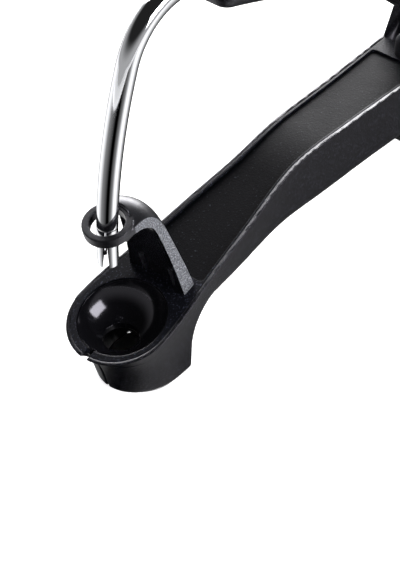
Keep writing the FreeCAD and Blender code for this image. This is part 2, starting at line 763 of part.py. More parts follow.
def make_rod():
    start = on_circle(pivot_x, pivot_height, rod_arc_radius, 180 + math.degrees(
        math.asin((pivot_height - rod_tip_height) / rod_arc_radius)))
    start_angle = 180 + math.degrees(math.asin((pivot_height - rod_tip_height) / rod_arc_radius))
    middle = on_circle(pivot_x, pivot_height, rod_arc_radius, (start_angle + 180 - top_angle) / 2)
    bend_middle = on_circle(bend_centre.x, bend_centre.z, rod_bend_radius, (bend_start_angle + bend_end_angle) / 2)
    end = handle_front + front_way * rod_in_handle
    path = Part.Wire([arc(start, middle, arc_top), arc(arc_top, bend_middle, rod_bend_end),
                      line(rod_bend_end, end)])
    section = Part.Wire([Part.Circle(start, V(math.sin(math.radians(start_angle - 180)), 0, 1), rod_radius).toShape()])
    rod = path.makePipeShell([section], True, False)
    return crown(rod, start)


def crown(rod, tip):
    # Four prongs: a bore up the middle, a countersink that sharpens the tips and two tapered cross slots
    rod = rod.cut(rod_of(tip - V(0, 0, 1), V(0, 0, 1), crown_bore_radius, prong_slot_depth))
    rod = rod.cut(Part.makeCone(crown_point_radius, crown_bore_radius, crown_point_depth, tip, V(0, 0, 1)))
    for turn in (45, 135):
        corners = (V(-5, -prong_slot_tip / 2, -0.5), V(-5, prong_slot_tip / 2, -0.5),
                   V(-5, prong_slot_root / 2, prong_slot_depth), V(-5, -prong_slot_root / 2, prong_slot_depth))
        wedge = Part.Face(Part.makePolygon(list(corners) + [corners[0]])).extrude(V(10, 0, 0))
        wedge = wedge.fuse(Part.makeCylinder(prong_slot_root / 2, 10, V(-5, 0, prong_slot_depth), V(1, 0, 0)))
        wedge.rotate(V(0, 0, 0), V(0, 0, 1), turn)
        wedge.translate(tip)
        rod = rod.cut(wedge)
    return rod


def rod_hole(radius, length):
    return rod_of(handle_front - front_way, front_way, radius, length + 1)


def make_handle():
    # Both halves of the handle as one rounded form, before it is parted
    whole = lever_band(-lever_under, lever_over).common(lever_plan(0.0, handle_front.x - 6, pivot_x + 15))
    front = handle_front

    def on_nose(point):
        return abs((point - front).dot(front_way)) < 0.01 and abs(point.y) > lever_front_half - 0.3

    def on_skin(point):
        offset = lever_offset(point)
        skin = abs(offset - lever_over) < 0.01 or abs(offset + lever_under) < 0.01
        return skin and point.x < pivot_x - 4 and abs(point.y) > 2

    whole = whole.makeFillet(lever_nose_round, edges_near(whole, on_nose))
    whole = whole.makeFillet(lever_round, edges_near(whole, on_skin))
    return whole


def screw_way(x):
    # Foot and direction of a handle screw, square to the handle's underside
    angle = lever_angle(x)
    way = on_circle(0, 0, 1, angle)
    return lever_centre + way * (lever_radius - lever_under), way


def grip_form(low, top, inset):
    start_x = grip_start_x + inset
    end_x = grip_end_x - inset
    plan = lever_plan(grip_border + inset, start_x, end_x)

    def at_corner(point):
        return abs(point.y) > 3 and (point.x < start_x + 0.01 or point.x > end_x - 0.01) and 1 < point.z

    upright = [e for e in edges_near(plan, at_corner) if abs(e.tangentAt(e.FirstParameter).z) > 0.9]
    return plan.makeFillet(3.0, upright).common(lever_band(low, top))


def rod_pin_solid(half_length):
    place = handle_front + front_way * rod_pin_back
    return across(place.x, place.z, rod_pin_radius, -half_length, half_length)


def make_lever():
    whole = make_handle()
    hollow = lever_band(lever_wall - lever_under, lever_over - lever_wall)
    hollow = hollow.common(lever_plan(lever_wall, lever_hollow_start_x, lever_hollow_end_x))
    cap_box = box(0, lever_cap_end_x, -30, 30, 0, high + 60)
    upper = whole.common(lever_band(0.0, lever_over + 5)).common(cap_box)
    rear_box = box(lever_cap_end_x + seat_clearance, pivot_x + 5, -30, 30, 0, high + 60)
    lower = whole.common(lever_band(-lever_under - 5, 0.0)).fuse(whole.common(rear_box))
    hub = across(pivot_x, pivot_height, hub_radius, -hub_half, hub_half)
    tail = box(tail_start_x, tail_end_x, -hub_half, hub_half, tail_height, pivot_height)
    lower = lower.fuse(hub).fuse(tail)
    lower = lower.cut(hollow)
    upper = upper.cut(hollow)
    for x in lever_screw_x:
        foot, way = screw_way(x)
        lower = lower.fuse(rod_of(foot + way * 0.8, way, boss_radius, lever_under - 0.8 - boss_gap / 2))
        upper = upper.fuse(rod_of(foot + way * (lever_under + boss_gap / 2), way, boss_radius, lever_over - 1.5))
        lower = lower.cut(rod_of(foot - way * 2, way, screw_head_radius + seat_clearance, counterbore_depth + 2))
        lower = lower.cut(rod_of(foot, way, screw_radius, lever_under + 1))
        upper = upper.cut(rod_of(foot, way, screw_radius, lever_under + lever_over - lever_wall - 0.4))
    sunk = rod_of(handle_front - front_way, front_way, ferrule_radius, 1 + ferrule_sunk)
    removed = [rod_hole(rod_radius + pin_clearance, rod_in_handle + 0.3), sunk, rod_pin_solid(20)]
    upper = upper.cut(removed)
    lower = lower.cut(removed)
    upper = upper.cut(grip_form(-grip_sink + lever_over, lever_over + 3, 0.0))
    return upper, cut_hub(lower)


def cut_hub(lower):
    # Room in the hub for the bushes, the coil and both of its legs over the whole travel
    room = coil_radius + wire_radius + coil_room
    lower = lower.cut(across(pivot_x, pivot_height, room, -coil_slot_half, coil_slot_half))
    lower = lower.cut(box(pivot_x - hub_radius - 3, pivot_x, -coil_slot_half, coil_slot_half,
                          pivot_height - hub_radius - 3, pivot_height - 1.2))
    lower = lower.cut(across(pivot_x, pivot_height, bush_radius, -20, 20))
    slot_half = wire_radius + 0.4
    base = pivot + neck_out * (coil_radius - slot_half)
    corners = [base, base + neck_out * 2 * slot_half]
    corners.append(corners[1] + neck_way * (spring_leg + 1.5))
    corners.append(corners[0] + neck_way * (spring_leg + 1.5))
    face = Part.Face(Part.makePolygon(corners + [corners[0]]))
    face.translate(V(0, coil_half_width() - slot_half, 0))
    return lower.cut(face.extrude(V(0, 2 * slot_half + leg_drift(), 0)))


def coil_turns():
    return coil_full_turns + (hinge_angle + 90.0) / 360.0


def coil_half_width():
    return coil_pitch * coil_turns() / 2


def leg_drift():
    return spring_leg * coil_pitch / (2 * math.pi * coil_radius)


def arc_by_tangent(start, tangent, end):
    # Arc from start to end that leaves start along tangent
    gap = end - start
    turn = gap.getAngle(tangent)
    side = tangent - gap * (tangent.dot(gap) / gap.dot(gap))
    middle = start + gap * 0.5 + side.normalize() * (gap.Length / 2 * math.tan(turn / 2))
    return arc(start, middle, end)


def biarc(start, way_in, end, way_out):
    # Two arcs that join two points along given directions
    gap = end - start
    total = way_in + way_out
    a = 2 * (way_in.dot(way_out) - 1)
    b = -2 * gap.dot(total)
    c = gap.dot(gap)
    reach = (-b - math.sqrt(b * b - 4 * a * c)) / (2 * a)
    joint = (start + way_in * reach + end - way_out * reach) * 0.5
    first = arc_by_tangent(start, way_in, joint)
    middle_way = (end - way_out * reach) - (start + way_in * reach)
    second = arc_by_tangent(joint, middle_way.normalize(), end)
    return [first, second]


def make_spring():
    # A torsion spring: leg, coil and leg as one unbroken wire
    start_angle = -90.0
    whole = 360.0 * coil_turns()
    steps = int(math.ceil(whole / 90.0))

    def place(degrees):
        angle = math.radians(start_angle + degrees)
        y = -coil_half_width() + coil_pitch * degrees / 360.0
        return V(pivot_x + coil_radius * math.cos(angle), y, pivot_height + coil_radius * math.sin(angle))

    def way(degrees):
        angle = math.radians(start_angle + degrees)
        rise = coil_pitch / (2 * math.pi)
        return V(-coil_radius * math.sin(angle), rise, coil_radius * math.cos(angle)).normalize()

    first = place(0) - way(0) * spring_leg
    edges = [line(first, place(0))]
    for i in range(steps):
        low = whole * i / steps
        top = whole * (i + 1) / steps
        edges += biarc(place(low), way(low), place(top), way(top))
    edges.append(line(place(whole), place(whole) + way(whole) * spring_leg))
    section = Part.Wire([Part.Circle(first, way(0), wire_radius).toShape()])
    spring = Part.Wire(edges).makePipeShell([section], True, False)
    expected = math.pi * wire_radius ** 2 * (2 * spring_leg + math.radians(whole) * math.hypot(
        coil_radius, coil_pitch / (2 * math.pi)))
    print("spring volume over its section times length", round(spring.Volume / expected, 4))
    print("least gap between turns", round(least_gap(place, whole), 3))
    return spring


def least_gap(place, whole):
    # Nearest approach of the wire to itself between points half a turn or more apart
    points = [place(whole * i / 400.0) for i in range(401)]
    apart = int(400 * 180.0 / whole)
    nearest = min((points[i] - points[j]).Length for i in range(401) for j in range(i + apart, 401))
    return nearest - 2 * wire_radius


def make_ferrule():
    start = handle_front - front_way * (ferrule_length - ferrule_sunk)
    ferrule = rod_of(start, front_way, ferrule_radius, ferrule_length)
    front = edges_near(ferrule, lambda p: abs((p - start).dot(front_way)) < 0.01)
    ferrule = ferrule.makeFillet(1.0, front)
    return ferrule.cut(rod_of(start - front_way, front_way, rod_radius, ferrule_length + 2))


def make_lever_screws():
    screws = []
    for x in lever_screw_x:
        foot, way = screw_way(x)
        start = foot + way * (counterbore_depth - screw_head_height)
        length = lever_under - counterbore_depth + lever_over - lever_wall - 1.0
        screws.append(screw(start, way, screw_head_radius, screw_radius, length))
    return Part.makeCompound(screws)


upper, lower = make_lever()
nodes = {
    "lower_shell": make_shell(),
    "top_deck": make_deck(),
    "cup_bowl": make_bowl(),
    "arm_inlay": make_panel(),
    "hood": make_hood(),
    "hood_screws": make_hood_screws(),
    "deck_screws": make_deck_screws(),
    "heel_pad": pad_solid(),
    "stop_bumper": make_bumper(),
    "pivot_pin": make_pin(),
    "pivot_clip": make_clip(),
    "thrust_washers": make_washers(),
    "hub_bushes": make_bushes(),
    "return_spring": make_spring(),
    "lever_lower": lower,
    "lever_upper": upper,
    "lever_grip": grip_form(-grip_sink + lever_over, lever_over + grip_proud, seat_clearance),
    "lever_screws": make_lever_screws(),
    "push_rod": make_rod().cut(rod_pin_solid(20)),
    "rod_ferrule": make_ferrule(),
    "rod_pin": rod_pin_solid(lever_front_half - 0.6),
}

for name, shape in nodes.items():
    shape.translate(V(-middle_x, 0, 0))
    print(name, shape.isValid(), len(shape.Solids), round(shape.Volume, 1))
    shape.exportStep("parts/" + name + ".step")
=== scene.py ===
import math

import bmesh
import bpy
import numpy as np
from mathutils import Matrix, Vector


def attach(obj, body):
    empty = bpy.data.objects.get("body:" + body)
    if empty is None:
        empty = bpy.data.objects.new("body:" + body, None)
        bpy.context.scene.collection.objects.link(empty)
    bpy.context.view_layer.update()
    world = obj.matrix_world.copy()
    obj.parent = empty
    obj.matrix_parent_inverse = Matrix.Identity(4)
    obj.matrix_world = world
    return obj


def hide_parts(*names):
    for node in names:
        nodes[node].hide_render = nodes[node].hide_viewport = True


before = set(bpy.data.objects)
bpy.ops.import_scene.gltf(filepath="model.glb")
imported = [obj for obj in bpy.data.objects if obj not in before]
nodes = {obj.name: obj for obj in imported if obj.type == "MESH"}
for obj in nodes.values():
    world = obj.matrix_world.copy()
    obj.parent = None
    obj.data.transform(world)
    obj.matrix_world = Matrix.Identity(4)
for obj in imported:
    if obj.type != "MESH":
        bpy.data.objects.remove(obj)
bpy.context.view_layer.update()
print("stage: packed model loaded")

mmPerMetre = 1000.0
middleX = 71.7          # the plans below count millimetres from a point this far in front of the origin
mergeDistance = 1e-6    # points of one mesh closer than this are one point, in metres

# the camera stands where the photograph's did, in the model's own frame
cameraSetup = {"place": (-0.2439, -0.178447, 0.263959), "look": (0.55217, 0.47956, -0.68200),
               "right": (0.65572, -0.75500, 0.0), "lensMm": 88.42, "sensorMm": 36.0, "clip": (0.01, 20.0)}


def addObject(name, data):
    # an object at the origin, linked into the scene
    made = bpy.data.objects.new(name, data)
    bpy.context.scene.collection.objects.link(made)
    return made


def makeCamera(setup):
    # the camera's own axes are right, up, which is right crossed with look, and look turned back
    data = bpy.data.cameras.new("camera")
    data.sensor_width = setup["sensorMm"]
    data.lens = setup["lensMm"]
    data.clip_start, data.clip_end = setup["clip"]
    look = Vector(setup["look"]).normalized()
    right = Vector(setup["right"]).normalized()
    up = right.cross(look)
    turn = Matrix((right, up, -look)).transposed()
    camera = addObject("camera", data)
    camera.matrix_world = Matrix.Translation(setup["place"]) @ turn.to_4x4()
    bpy.context.scene.camera = camera


makeCamera(cameraSetup)
bpy.context.scene.view_settings.view_transform = "Standard"
print("stage: camera placed")


def linearColour(hexText):
    # sRGB hex to linear light: a straight part near black, then a power of 2.4
    parts = [int(hexText[i:i + 2], 16) / 255.0 for i in (1, 3, 5)]
    return tuple(c / 12.92 if c <= 0.04045 else ((c + 0.055) / 1.055) ** 2.4 for c in parts) + (1.0,)


def addNode(tree, kind, settings=None, values=None, links=None):
    # one shader node with its settings, its socket values and what feeds its sockets
    node = tree.nodes.new(kind)
    for name, value in (settings or {}).items():
        setattr(node, name, value)
    for name, value in (values or {}).items():
        node.inputs[name].default_value = value
    for name, source in (links or {}).items():
        tree.links.new(source, node.inputs[name])
    return node


def startMaterial(name):
    # a material with an empty node tree
    material = bpy.data.materials.new(name)
    material.use_nodes = True
    material.node_tree.nodes.clear()
    return material, material.node_tree


def finishMaterial(tree, shader):
    # the shader's result becomes the material's surface
    addNode(tree, "ShaderNodeOutputMaterial", links={"Surface": shader.outputs[0]})


# what all the plastics share: the tips' grey sets in over tipSpread of the noise, and grainDepth is the
# grain's depth as a share of its width
plasticShared = {"ior": 1.54, "tint": "#f2effc", "grainDetail": 3.0, "grainRoughness": 0.6,
                 "wearDetail": 2.0, "tipSpread": 0.1, "grainDepth": 0.3, "edgeSamples": 6}


def mouldedPlastic(name, look):
    # a base tone that lightens on the grain's tips, roughness that drifts over the surface, the grain in the
    # normals, and edges that the mould left slightly round
    shared = plasticShared
    material, tree = startMaterial(name)
    place = addNode(tree, "ShaderNodeTexCoord").outputs["Object"]
    grain = addNode(tree, "ShaderNodeTexNoise", links={"Vector": place},
                    values={"Scale": mmPerMetre / look["grainMm"], "Detail": shared["grainDetail"],
                            "Roughness": shared["grainRoughness"]})
    wear = addNode(tree, "ShaderNodeTexNoise", links={"Vector": place},
                   values={"Scale": mmPerMetre / look["wearMm"], "Detail": shared["wearDetail"]})
    rough = addNode(tree, "ShaderNodeMapRange", links={"Value": wear.outputs["Fac"]},
                    values={"To Min": look["rough"] - look["roughSpread"],
                            "To Max": look["rough"] + look["roughSpread"]})
    tips = addNode(tree, "ShaderNodeMapRange", links={"Value": grain.outputs["Fac"]},
                   values={"From Min": look["tipFrom"], "From Max": look["tipFrom"] + shared["tipSpread"]})
    tone = addNode(tree, "ShaderNodeMix", settings={"data_type": "RGBA"},
                   values={"A": linearColour(look["colour"]), "B": linearColour(look["tipColour"])},
                   links={"Factor": tips.outputs["Result"]})
    edges = addNode(tree, "ShaderNodeBevel", settings={"samples": shared["edgeSamples"]},
                    values={"Radius": look["edgeMm"] / mmPerMetre})
    depth = look["grainMm"] / mmPerMetre * shared["grainDepth"]
    bump = addNode(tree, "ShaderNodeBump", values={"Strength": look["bump"], "Distance": depth},
                   links={"Height": grain.outputs["Fac"], "Normal": edges.outputs["Normal"]})
    shader = addNode(tree, "ShaderNodeBsdfPrincipled",
                     values={"IOR": shared["ior"], "Specular IOR Level": look["specular"],
                             "Specular Tint": linearColour(shared["tint"])},
                     links={"Base Color": tone.outputs[2], "Roughness": rough.outputs["Result"],
                            "Normal": bump.outputs["Normal"]})
    finishMaterial(tree, shader)
    return material


# what all the metals share: roughness waves by its share roughWave, and the marks are markDepth metres deep
metalShared = {"markDetail": 4.0, "roughWave": 0.3, "markDepth": 0.00002}


def plainMetal(name, look):
    # a base tone, faint marks of the finishing, drawn out by stretch, and a slight wave in the roughness
    shared = metalShared
    material, tree = startMaterial(name)
    place = addNode(tree, "ShaderNodeTexCoord")
    mapping = addNode(tree, "ShaderNodeMapping", values={"Scale": look["stretch"]},
                      links={"Vector": place.outputs["Object"]})
    marks = addNode(tree, "ShaderNodeTexNoise", links={"Vector": mapping.outputs["Vector"]},
                    values={"Scale": mmPerMetre / look["markMm"], "Detail": shared["markDetail"]})
    rough = addNode(tree, "ShaderNodeMapRange", links={"Value": marks.outputs["Fac"]},
                    values={"To Min": look["rough"] * (1 - shared["roughWave"]),
                            "To Max": look["rough"] * (1 + shared["roughWave"])})
    bump = addNode(tree, "ShaderNodeBump", links={"Height": marks.outputs["Fac"]},
                   values={"Strength": look["bump"], "Distance": shared["markDepth"]})
    shader = addNode(tree, "ShaderNodeBsdfPrincipled",
                     values={"Base Color": linearColour(look["colour"]), "Metallic": 1.0},
                     links={"Roughness": rough.outputs["Result"], "Normal": bump.outputs["Normal"]})
    finishMaterial(tree, shader)
    return material


# every grain below is drawn several times coarser than a mould's real texture, so that it shows in a render

# spark-eroded ABS: satin black that greys softly where light grazes it
sparkErodedAbs = mouldedPlastic("sparkErodedAbs", {
    "colour": "#0a0a0d", "tipColour": "#2b2b33", "tipFrom": 0.54, "grainMm": 0.5, "wearMm": 9.0,
    "rough": 0.3, "roughSpread": 0.05, "bump": 0.6, "specular": 0.34, "edgeMm": 0.7})
# fine-textured ABS: black where it faces up, pale where it turns away and catches the light behind
fineSatinAbs = mouldedPlastic("fineSatinAbs", {
    "colour": "#08090b", "tipColour": "#2c2e34", "tipFrom": 0.58, "grainMm": 0.3, "wearMm": 8.0,
    "rough": 0.37, "roughSpread": 0.04, "bump": 0.4, "specular": 0.5, "edgeMm": 0.1})
# ABS of the hood's sides: a fine even grain, under a matt grey that is painted light, the lit look of the
# sides laid into the colour
paintedLitSideAbs = mouldedPlastic("paintedLitSideAbs", {
    "colour": "#4c4e53", "tipColour": "#a2a4aa", "tipFrom": 0.5, "grainMm": 0.28, "wearMm": 7.0,
    "rough": 0.5, "roughSpread": 0.05, "bump": 0.5, "specular": 0.4, "edgeMm": 0.1})
# coarse-textured ABS: blue-black with pale specks where the texture's tips catch the light
coarseGrainAbs = mouldedPlastic("coarseGrainAbs", {
    "colour": "#050608", "tipColour": "#2a2c33", "tipFrom": 0.64, "grainMm": 0.6, "wearMm": 6.0,
    "rough": 0.5, "roughSpread": 0.06, "bump": 0.4, "specular": 0.05, "edgeMm": 0.35})
# coarse-textured ABS of the deck's rim: a little finer, with bluish specks
rimGrainAbs = mouldedPlastic("rimGrainAbs", {
    "colour": "#0b0c11", "tipColour": "#3a3c4a", "tipFrom": 0.58, "grainMm": 0.5, "wearMm": 6.0,
    "rough": 0.45, "roughSpread": 0.06, "bump": 0.5, "specular": 0.1, "edgeMm": 0.2})
# polished ABS: deep black with clear reflections
polishedAbs = mouldedPlastic("polishedAbs", {
    "colour": "#0c0c0f", "tipColour": "#0e0e12", "tipFrom": 0.9, "grainMm": 3.0, "wearMm": 12.0,
    "rough": 0.12, "roughSpread": 0.03, "bump": 0.02, "specular": 0.5, "edgeMm": 0.1})
# moulded thermoplastic rubber: soft black, almost no reflection
mouldedTpe = mouldedPlastic("mouldedTpe", {
    "colour": "#1a1a1d", "tipColour": "#232327", "tipFrom": 0.55, "grainMm": 0.9, "wearMm": 5.0,
    "rough": 0.78, "roughSpread": 0.06, "bump": 0.5, "specular": 0.22, "edgeMm": 0.35})
# natural acetal: milky, slightly waxy
naturalAcetal = mouldedPlastic("naturalAcetal", {
    "colour": "#d8d5cb", "tipColour": "#dedbd2", "tipFrom": 0.6, "grainMm": 2.0, "wearMm": 5.0,
    "rough": 0.4, "roughSpread": 0.05, "bump": 0.05, "specular": 0.5, "edgeMm": 0.1})
# chromed steel: mirror bright, with hairline polishing marks that run up the rod
chromedSteel = plainMetal("chromedSteel", {
    "colour": "#dcdde0", "rough": 0.06, "markMm": 1.2, "stretch": (3, 3, 0.15), "bump": 0.02})
# zinc-plated steel: grey, softly bright
zincPlatedSteel = plainMetal("zincPlatedSteel", {
    "colour": "#b9bcc2", "rough": 0.3, "markMm": 0.6, "stretch": (1, 1, 1), "bump": 0.15})
# ground steel: grey, with turning marks round it
groundSteel = plainMetal("groundSteel", {
    "colour": "#c3c4c8", "rough": 0.22, "markMm": 0.5, "stretch": (1, 6, 1), "bump": 0.1})
print("stage: materials made")

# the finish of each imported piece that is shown; push rod, hood and lower shell are made anew below
finishes = {
    "top_deck": rimGrainAbs, "arm_inlay": coarseGrainAbs, "cup_bowl": polishedAbs,
    "lever_lower": sparkErodedAbs, "lever_upper": sparkErodedAbs, "lever_grip": mouldedTpe,
    "heel_pad": mouldedTpe, "stop_bumper": mouldedTpe, "thrust_washers": naturalAcetal,
    "hub_bushes": naturalAcetal, "hood_screws": zincPlatedSteel, "deck_screws": zincPlatedSteel,
    "lever_screws": zincPlatedSteel, "pivot_clip": zincPlatedSteel, "pivot_pin": groundSteel,
    "rod_pin": groundSteel, "return_spring": groundSteel, "rod_ferrule": chromedSteel}
for name, material in finishes.items():
    nodes[name].data.materials.clear()
    nodes[name].data.materials.append(material)


def toModel(points):
    # the plans' millimetres, counted from just in front of the ring's middle, to metres in the model's frame
    return (points - np.array((middleX, 0.0, 0.0))) / mmPerMetre


def fullTurn(steps):
    # equal angles once round, without the closing one
    return np.linspace(0.0, 2 * math.pi, steps, endpoint=False)


def quadsBetweenRings(rings, columns):
    # quads between neighbours on a grid of rings; each ring closes on itself
    i, j = np.meshgrid(np.arange(rings - 1), np.arange(columns), indexing="ij")
    k = (j + 1) % columns
    corners = (i * columns + j, i * columns + k, (i + 1) * columns + k, (i + 1) * columns + j)
    return np.stack(corners, -1).reshape(-1, 4)


def closedTube(rings, columns, start=0):
    # quads between the rings and one face over each end, for points numbered from start
    last = start + (rings - 1) * columns
    ends = [list(range(start, start + columns)), list(range(last, last + columns))]
    return (quadsBetweenRings(rings, columns) + start).tolist() + ends


def mergeDoubles(mesh, turnOut=False):
    # points that lie together become one, and faces are turned outwards where asked
    merged = bmesh.new()
    merged.from_mesh(mesh)
    bmesh.ops.remove_doubles(merged, verts=merged.verts, dist=mergeDistance)
    if turnOut:
        bmesh.ops.recalc_face_normals(merged, faces=merged.faces)
    merged.to_mesh(mesh)
    merged.free()


def shadeFaces(mesh, smooth):
    mesh.polygons.foreach_set("use_smooth", np.full(len(mesh.polygons), smooth))


def applyModifiers(piece, materials):
    # what the modifiers make becomes the piece's own mesh, with these materials
    shaped = bpy.data.meshes.new_from_object(piece.evaluated_get(bpy.context.evaluated_depsgraph_get()))
    piece.modifiers.clear()
    before = piece.data
    piece.data = shaped
    bpy.data.meshes.remove(before)
    shaped.materials.clear()
    for material in materials:
        shaped.materials.append(material)
    shadeFaces(shaped, True)
    return shaped


def makePiece(name, points, faces, materials, body, replaced=()):
    # a closed mesh from arrays in millimetres
    mesh = bpy.data.meshes.new(name)
    mesh.from_pydata(toModel(points).tolist(), [], faces)
    for material in materials:
        mesh.materials.append(material)
    mergeDoubles(mesh, turnOut=True)
    shadeFaces(mesh, True)
    piece = addObject(name, mesh)
    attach(piece, body)
    if replaced:
        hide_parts(*replaced)
    return piece


# the push rod in millimetres and degrees: an arc about the hinge, a tight bend, then straight into the
# handle, with prongs cut into its tip
rodPlan = {"hinge": (141.5, 42.3), "ring": (0.5, 53.3), "radius": 2.6, "tipHeight": 41.3, "arcTop": 92.0,
           "bendRadius": 18.0, "handleSlope": 12.0, "lead": 5.0, "inHandle": 24.8,
           "slotDepth": 11.0, "slotTip": 1.7, "slotRoot": 0.6, "slotTurn": 14.0, "bore": 1.2,
           "pointDepth": 2.4, "pointRadius": 2.35, "leastTurn": 0.01, "overlap": 0.2,
           "rings": 260, "around": 96, "prongs": 4, "prongRings": 30, "prongSteps": 13}


def rodPath(plan, lengths):
    # centre line by length from the tip: arc about the hinge, arc of the bend, straight; with its direction
    hingeX, hingeZ = plan["hinge"]
    bend = plan["bendRadius"]
    arm = math.hypot(hingeX - plan["ring"][0], plan["ring"][1] - hingeZ)
    low = math.pi + math.asin((hingeZ - plan["tipHeight"]) / arm)
    high = math.pi - math.asin((plan["arcTop"] - hingeZ) / arm)
    arcLength = (low - high) * arm
    last = math.pi / 2 - math.radians(plan["handleSlope"])
    bendLength = (high - last) * bend
    topX, topZ = hingeX + arm * math.cos(high), hingeZ + arm * math.sin(high)
    bendX, bendZ = topX - bend * math.cos(high), topZ - bend * math.sin(high)
    angle = np.where(lengths < arcLength, low - lengths / arm,
                     np.maximum(high - (lengths - arcLength) / bend, last))
    flat = np.zeros_like(angle)
    onArc = np.stack((hingeX + arm * np.cos(angle), flat, hingeZ + arm * np.sin(angle)), -1)
    onBend = np.stack((bendX + bend * np.cos(angle), flat, bendZ + bend * np.sin(angle)), -1)
    centre = np.where((lengths < arcLength)[:, None], onArc, onBend)
    way = np.stack((np.sin(angle), flat, -np.cos(angle)), -1)
    beyond = np.maximum(lengths - arcLength - bendLength, 0.0)
    return centre + way * beyond[:, None], way, arcLength + bendLength


def ringsRound(plan, lengths, offsets):
    # each ring's places: the centre line's point plus offsets outward in its plane and across it
    centre, way, _ = rodPath(plan, lengths)
    out = np.stack((-way[:, 2], np.zeros(len(way)), way[:, 0]), -1)
    across = np.array((0.0, 1.0, 0.0))
    return centre[:, None, :] + offsets[..., 0:1] * out[:, None, :] + offsets[..., 1:2] * across


def makeRodShaft(plan):
    # a tube round the centre line from the prongs' root to inside the handle, closed by flat ends
    _, _, straightStart = rodPath(plan, np.zeros(1))
    end = straightStart + plan["lead"] + plan["inHandle"]
    lengths = np.linspace(plan["slotDepth"] - plan["overlap"], end, plan["rings"])
    turns = fullTurn(plan["around"])
    circle = np.stack((np.cos(turns), np.sin(turns)), -1) * plan["radius"]
    tube = ringsRound(plan, lengths, np.broadcast_to(circle, (plan["rings"], plan["around"], 2)))
    faces = closedTube(plan["rings"], plan["around"])
    return makePiece("rodShaft", tube.reshape(-1, 3), faces, [chromedSteel], "lever",
                     replaced=("push_rod",))


def makeProngs(plan):
    # each prong's section is its share of a ring, cut back by half the slot's width; slots and bore widen
    # towards the tip
    heights = np.linspace(0.0, plan["slotDepth"], plan["prongRings"])
    halfSlot = (plan["slotTip"] + (plan["slotRoot"] - plan["slotTip"]) * heights / plan["slotDepth"]) / 2
    cone = plan["pointRadius"] - heights * (plan["pointRadius"] - plan["bore"]) / plan["pointDepth"]
    inner = np.maximum(plan["bore"], cone)
    half = math.pi / plan["prongs"]
    outerTurn = half - np.arcsin(halfSlot / plan["radius"])
    innerTurn = np.maximum(half - np.arcsin(np.minimum(halfSlot / inner, 1.0)), plan["leastTurn"])
    share = np.linspace(-1.0, 1.0, plan["prongSteps"])
    turns = np.concatenate((outerTurn[:, None] * share, innerTurn[:, None] * share[::-1]), 1)
    radii = np.repeat(np.stack((np.full_like(inner, plan["radius"]), inner), 1), len(share), 1)
    allPoints, allFaces = [], []
    for number in range(plan["prongs"]):
        angle = turns + number * 2 * half + math.radians(plan["slotTurn"])
        offsets = np.stack((radii * np.cos(angle), radii * np.sin(angle)), -1)
        places = ringsRound(plan, heights, offsets).reshape(-1, 3)
        allPoints.append(places)
        allFaces += closedTube(plan["prongRings"], turns.shape[1], start=number * len(places))
    piece = makePiece("rodProngs", np.concatenate(allPoints), allFaces, [chromedSteel], "lever")
    shadeFaces(piece.data, False)
    return piece


for piece in (makeRodShaft(rodPlan), makeProngs(rodPlan)):
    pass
print("stage: push rod made")

# the hood in millimetres and degrees: a flat ring, and an arch that rises from it, bends over and spreads
# down to its feet; a face's finish goes by its normal and by how far it lies beyond the ring's middle, and
# the sides' grey is painted light
hoodPlan = {
    "ringX": 0.4, "ringTop": 53.45, "tilt": 11.6, "ringRadius": 6.15, "holeRadius": 4.34,
    "ringThickness": 2.5, "topWidth": 6.15, "footWidth": 9.3, "topHeight": 50.0, "footHeight": 24.3,
    "crown": 1.9, "hollow": 1.5, "crownAtRing": 1.1, "crownGrows": 8.0, "ringShare": 0.45,
    "rows": 90, "columns": 33, "around": 144, "voxel": 0.16, "easing": 0.5, "smoothing": 6,
    "sideNormal": 0.72, "sideBeyond": 3.0, "downNormal": -0.1, "rodNormal": -0.45, "insideBeyond": 2.0,
    "outerEdge": [(0.4, 52.1), (2.6, 52.8), (5.0, 53.4), (7.0, 53.4), (8.9, 52.6), (10.6, 51.2),
                  (12.1, 49.2), (13.4, 46.4), (14.9, 42.2), (16.6, 37.3), (18.4, 32.0), (20.1, 26.3),
                  (20.9, 23.4)],
    "innerEdge": [(0.4, 50.5), (2.4, 50.95), (4.9, 51.05), (6.9, 50.5), (8.5, 49.6), (9.6, 48.4),
                  (10.4, 46.7), (11.3, 44.0), (12.6, 39.8), (14.0, 35.0), (15.2, 30.2), (16.3, 25.4),
                  (16.8, 22.6)]}


def smoothThrough(points, count):
    # a curve through given points: each span is a cubic whose end slopes come from the neighbours
    knots = np.array(points, float)
    padded = np.concatenate((2 * knots[:1] - knots[1:2], knots, 2 * knots[-1:] - knots[-2:-1]))
    place = np.linspace(0, len(knots) - 1.000001, count)    # ends just short of the last knot
    span = place.astype(int)
    t = (place - span)[:, None]
    before, start, end, after = (padded[span + i] for i in range(4))
    return 0.5 * (2 * start + (end - before) * t + (2 * before - 5 * start + 4 * end - after) * t ** 2
                  + (3 * start - before - 3 * end + after) * t ** 3)


def archFace(plan, edge, bulge):
    # rows of points along the edge's curve, spread across the width and bulged outwards as a parabola
    path = smoothThrough(plan[edge], plan["rows"])
    slope = np.gradient(path, axis=0)
    out = np.stack((-slope[:, 1], slope[:, 0]), -1) / np.linalg.norm(slope, axis=1, keepdims=True)
    fall = np.clip((plan["topHeight"] - path[:, 1]) / (plan["topHeight"] - plan["footHeight"]), 0.0, 1.0)
    half = plan["topWidth"] + (plan["footWidth"] - plan["topWidth"]) * fall
    grown = np.clip((path[:, 0] - plan["ringX"]) / plan["crownGrows"], 0.0, 1.0)
    rise = plan["crownAtRing"] + (bulge - plan["crownAtRing"]) * grown ** 2 * (3 - 2 * grown)
    share = np.linspace(-1.0, 1.0, plan["columns"])
    lift = rise[:, None] * (1 - share ** 2)
    return np.stack((path[:, :1] + out[:, :1] * lift, half[:, None] * share,
                     path[:, 1:] + out[:, 1:] * lift), -1)


